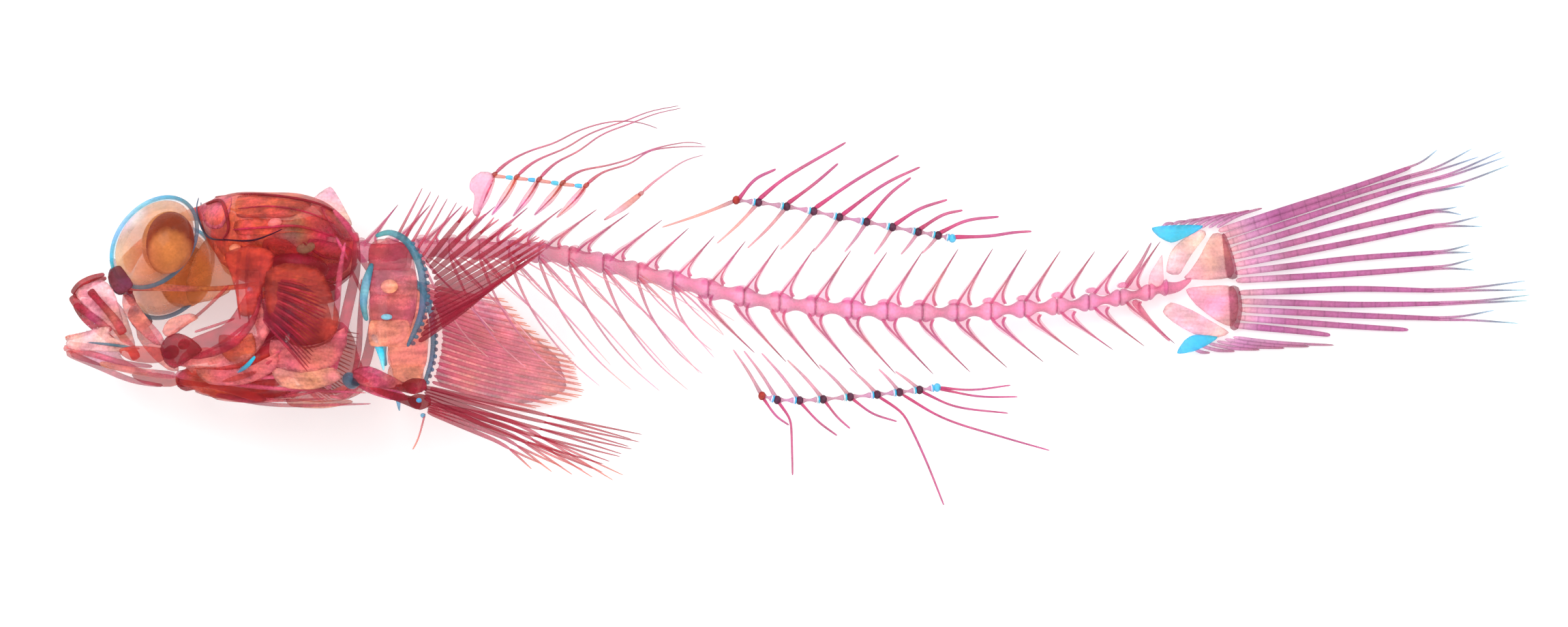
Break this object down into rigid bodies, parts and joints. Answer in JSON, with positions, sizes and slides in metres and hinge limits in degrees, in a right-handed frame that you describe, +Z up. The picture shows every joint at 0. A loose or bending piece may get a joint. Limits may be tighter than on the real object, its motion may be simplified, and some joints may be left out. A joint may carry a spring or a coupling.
{
  "type": "cleared and stained goby skeleton",
  "caption": "Life-size cleared-and-stained skeleton of a small goby fish lying on its right side, with red bones, blue cartilage, amber eyes and spread fins.",
  "frame": {"origin": "centre of the bounding box in plan, at the level the skeleton rests on", "axes": "+X from the snout to the tail fin, +Y towards the fish's back, +Z up from the table through its left side"},
  "size_m": [0.1254, 0.0348, 0.0187],
  "materials": {
    "head_bone": "bone stained deep red, slightly translucent, satin",
    "column_bone": "bone stained rose pink, translucent, satin",
    "fin_bone": "fin rays stained purple pink, translucent, satin",
    "cartilage": "cartilage stained bright blue, translucent, satin",
    "eye": "clear amber eyeball, wet gloss"
  },
  "bodies": {
    "root": {"neurocranium": "head_bone", "eye_ring_left": "cartilage", "eye_ring_right": "cartilage", "eye_left": "eye", "eye_right": "eye", "premaxilla_left": "head_bone", "premaxilla_right": "head_bone", "maxilla_left": "head_bone", "maxilla_right": "head_bone", "lower_jaw_left": "head_bone", "lower_jaw_right": "head_bone", "cheek_left": "head_bone", "cheek_right": "head_bone", "gill_cover_left": "head_bone", "gill_cover_right": "head_bone", "hyoid_left": "head_bone", "hyoid_right": "head_bone", "urohyal": "head_bone", "cleithrum_left": "head_bone", "cleithrum_right": "head_bone", "coracoid_cartilage_left": "cartilage", "coracoid_cartilage_right": "cartilage", "pectoral_radials_left": "head_bone", "pectoral_radials_right": "head_bone", "pectoral_fin_left": "fin_bone", "pectoral_fin_right": "fin_bone", "pelvic_cartilage": "cartilage", "pelvic_bone_left": "head_bone", "pelvic_bone_right": "head_bone", "pelvic_fin_left": "fin_bone", "pelvic_fin_right": "fin_bone", "trunk_left": "column_bone", "trunk_right": "column_bone", "tail_vertebrae_front": "column_bone", "tail_vertebrae_rear": "column_bone", "urostyle": "column_bone", "upper_tail_cartilage": "cartilage", "lower_tail_cartilage": "cartilage", "upper_hypural_and_rays": "fin_bone", "lower_hypural_and_rays": "fin_bone", "first_dorsal_fin": "column_bone", "sixth_dorsal_spine": "column_bone", "second_dorsal_fin": "column_bone", "anal_fin": "column_bone"}
  },
  "joints": []
}
